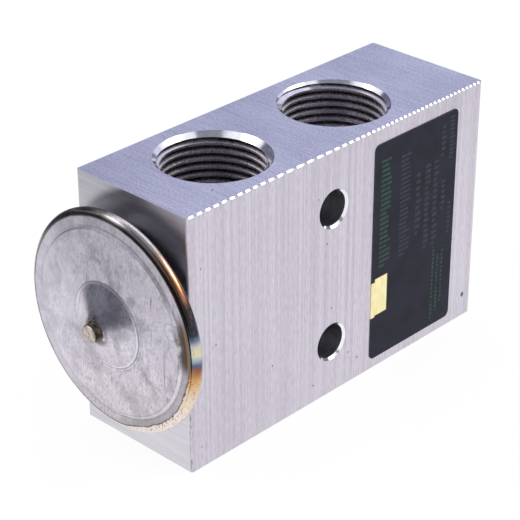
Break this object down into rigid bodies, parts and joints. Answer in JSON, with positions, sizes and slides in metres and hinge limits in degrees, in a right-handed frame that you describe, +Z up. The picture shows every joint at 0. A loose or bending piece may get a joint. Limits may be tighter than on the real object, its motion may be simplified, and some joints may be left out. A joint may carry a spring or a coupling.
{
  "type": "block expansion valve",
  "caption": "Block-type thermostatic expansion valve: aluminium block with tapped suction and liquid ports, a stainless power element, a sprung ball valve inside and an adjusting screw.",
  "frame": {"origin": "centre of the block's bottom face, which it rests on", "axes": "+X along the valve axis from the power element to the adjusting screw, -Y out of the labelled face, +Z up out of the tapped ports seen in the picture"},
  "size_m": [0.0854, 0.04, 0.0485],
  "materials": {
    "block_aluminium": "milled top, extruded sides with fine drawn lines",
    "cover_stainless": "matt pickled face, bright rolled rim with weld heat tint",
    "plug_steel": "cut end, browned by the weld",
    "spring_stainless": "smooth drawn",
    "turned_steel": "turned",
    "ball_steel": "ground and polished",
    "screw_brass": "turned",
    "seal_rubber": "smooth moulded",
    "label_foil": "printed foil with plain fields of colour"
  },
  "bodies": {
    "block": {"valve_block": "block_aluminium", "outer_cover": "cover_stainless", "charge_plug": "plug_steel", "diaphragm": "spring_stainless", "inner_cover": "cover_stainless", "threaded_neck": "turned_steel", "neck_seal_ring": "seal_rubber", "rod_seal_ring": "seal_rubber", "seal_retainer": "spring_stainless", "valve_seat": "turned_steel", "label": "label_foil"},
    "valve_train": {"stop_plate": "turned_steel", "sensing_rod": "turned_steel", "push_pin": "turned_steel", "valve_ball": "ball_steel", "ball_carrier": "screw_brass", "damping_clip": "spring_stainless", "superheat_spring": "spring_stainless"},
    "screw_seal": {"screw_seal_ring": "seal_rubber"},
    "screw": {"adjusting_screw": "screw_brass"}
  },
  "joints": [
    {"name": "valve_stroke", "type": "slide", "parent": "block", "child": "valve_train", "axis": [1, 0, 0], "range_m": [-0.00075, 0], "stiffness_N_per_m": 8000, "deforming": ["superheat_spring", "diaphragm"]},
    {"name": "screw_travel", "type": "slide", "parent": "block", "child": "screw_seal", "axis": [1, 0, 0], "range_m": [-0.001, 0.001], "deforming": ["superheat_spring"]},
    {"name": "screw_turn", "type": "hinge", "parent": "screw_seal", "child": "screw", "pos_m": [0.0302, 0, 0.0264], "axis": [1, 0, 0], "range_deg": [-370, 370]}
  ],
  "couplings": [
    {"joint": "screw_turn", "follows": "screw_travel", "rad_per_m": 6283.2}
  ]
}
